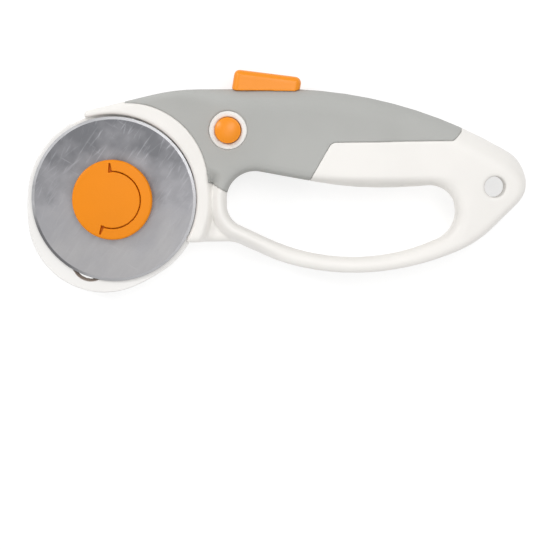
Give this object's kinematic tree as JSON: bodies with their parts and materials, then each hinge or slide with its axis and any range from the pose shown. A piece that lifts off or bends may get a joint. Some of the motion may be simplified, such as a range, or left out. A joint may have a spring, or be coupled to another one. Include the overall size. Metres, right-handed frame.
{
  "type": "rotary cutter with loop handle",
  "caption": "Hand-held rotary cutter: a round blade on a quick-release hub, a sliding blade guard worked by a thumb slider, and a closed loop handle with a soft overmould.",
  "frame": {"origin": "on the blade's axis, in the flat plane of the body's back", "axes": "+X along the handle towards the hanging hole, +Y towards the thumb slider, +Z out of the front face, where the blade and the hub cap show"},
  "size_m": [0.182, 0.0812, 0.0248],
  "materials": {
    "shell": "moulded, satin",
    "grip": "soft-touch overmould, matt",
    "orange_plastic": "moulded, satin",
    "hub_plastic": "moulded, satin",
    "blade_steel": "ground and coated",
    "guard": "moulded, satin",
    "steel": "plain",
    "brass": "turned",
    "inner_plastic": "moulded, natural"
  },
  "bodies": {
    "body": {"front_shell": "shell", "rear_shell": "shell", "front_grip": "grip", "rear_grip": "grip", "case_screws": "steel", "spindle_bush": "brass", "wave_washer": "steel", "thrust_pad": "brass", "detent_spring": "steel", "detent_screw": "steel", "button_spring": "steel", "latch_bridge": "inner_plastic", "bridge_screws": "steel"},
    "blade": {"cutting_blade": "blade_steel", "hub_cap": "hub_plastic", "hub_washer": "steel", "spindle": "steel"},
    "guard": {"blade_guard": "guard", "guard_pin": "steel"},
    "slider": {"thumb_slider": "orange_plastic", "slider_carriage": "inner_plastic", "slider_pin": "steel"},
    "button": {"release_button": "orange_plastic", "button_plunger": "inner_plastic"},
    "latch": {"latch_plate": "steel"}
  },
  "joints": [
    {"name": "blade_spin", "type": "hinge", "parent": "body", "child": "blade", "pos_m": [0, 0, 0.0163], "axis": [0, 0, 1], "continuous": true},
    {"name": "slider_slide", "type": "slide", "parent": "body", "child": "slider", "axis": [1, 0, 0], "range_m": [0, 0.012]},
    {"name": "guard_slide", "type": "slide", "parent": "body", "child": "guard", "axis": [0.4067, 0.9135, 0], "range_m": [0, 0.0075]},
    {"name": "release_press", "type": "slide", "parent": "body", "child": "button", "axis": [0, 0, -1], "range_m": [0, 0.0025], "stiffness_N_per_m": 600, "springref_m": -0.0015, "deforming": ["button_spring"]},
    {"name": "latch_slide", "type": "slide", "parent": "body", "child": "latch", "axis": [0.8571, 0.5151, 0], "range_m": [0, 0.0025]}
  ],
  "couplings": [
    {"joint": "guard_slide", "follows": "slider_slide", "ratio": 0.625},
    {"joint": "latch_slide", "follows": "release_press", "ratio": 1}
  ]
}
